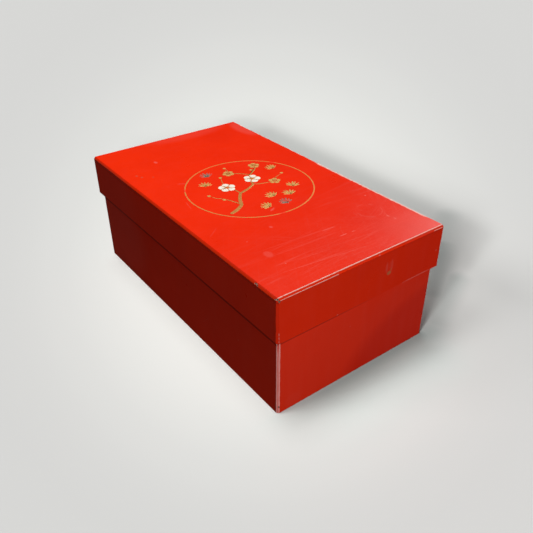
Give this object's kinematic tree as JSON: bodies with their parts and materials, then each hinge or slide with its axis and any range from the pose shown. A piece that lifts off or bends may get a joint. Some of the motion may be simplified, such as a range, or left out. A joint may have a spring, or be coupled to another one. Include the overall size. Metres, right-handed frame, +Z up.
{
  "type": "lidded document box",
  "caption": "Oblong red lacquered wooden box with a slip-over lid, chamfered edges and a gilt ring on top, for papers and keepsakes.",
  "frame": {"origin": "middle of the base's underside, on the surface it stands on", "axes": "+X along the long side, +Y from the front long side to the back, +Z up"},
  "size_m": [0.3, 0.168, 0.1121],
  "materials": {
    "vermilion_lacquer": "thin boards under glossy red lacquer, black inside, rubbed at the edges",
    "peg_wood": "plain split wood",
    "gold_powder": "gold powder in lacquer, rubbed",
    "old_gold": "darker gold powder in lacquer, worn",
    "worn_silver": "tarnished silver powder in lacquer",
    "white_pigment": "white pigment in lacquer, satin"
  },
  "bodies": {
    "base": {"base_bottom_board": "vermilion_lacquer", "base_front_wall": "vermilion_lacquer", "base_back_wall": "vermilion_lacquer", "base_left_wall": "vermilion_lacquer", "base_right_wall": "vermilion_lacquer", "base_bottom_pegs": "peg_wood"},
    "lid": {"lid_top_board": "vermilion_lacquer", "lid_front_wall": "vermilion_lacquer", "lid_back_wall": "vermilion_lacquer", "lid_left_wall": "vermilion_lacquer", "lid_right_wall": "vermilion_lacquer", "lid_top_pegs": "peg_wood", "gilt_ring": "gold_powder", "plum_branch": "old_gold", "pine_fans": "gold_powder", "worn_pine_fans": "worn_silver", "white_petals": "white_pigment", "gilt_petals": "gold_powder", "blossom_hearts": "old_gold"}
  },
  "joints": [
    {"name": "lid_lift", "type": "slide", "parent": "base", "child": "lid", "axis": [0, 0, 1], "range_m": [0, 0.15]}
  ]
}
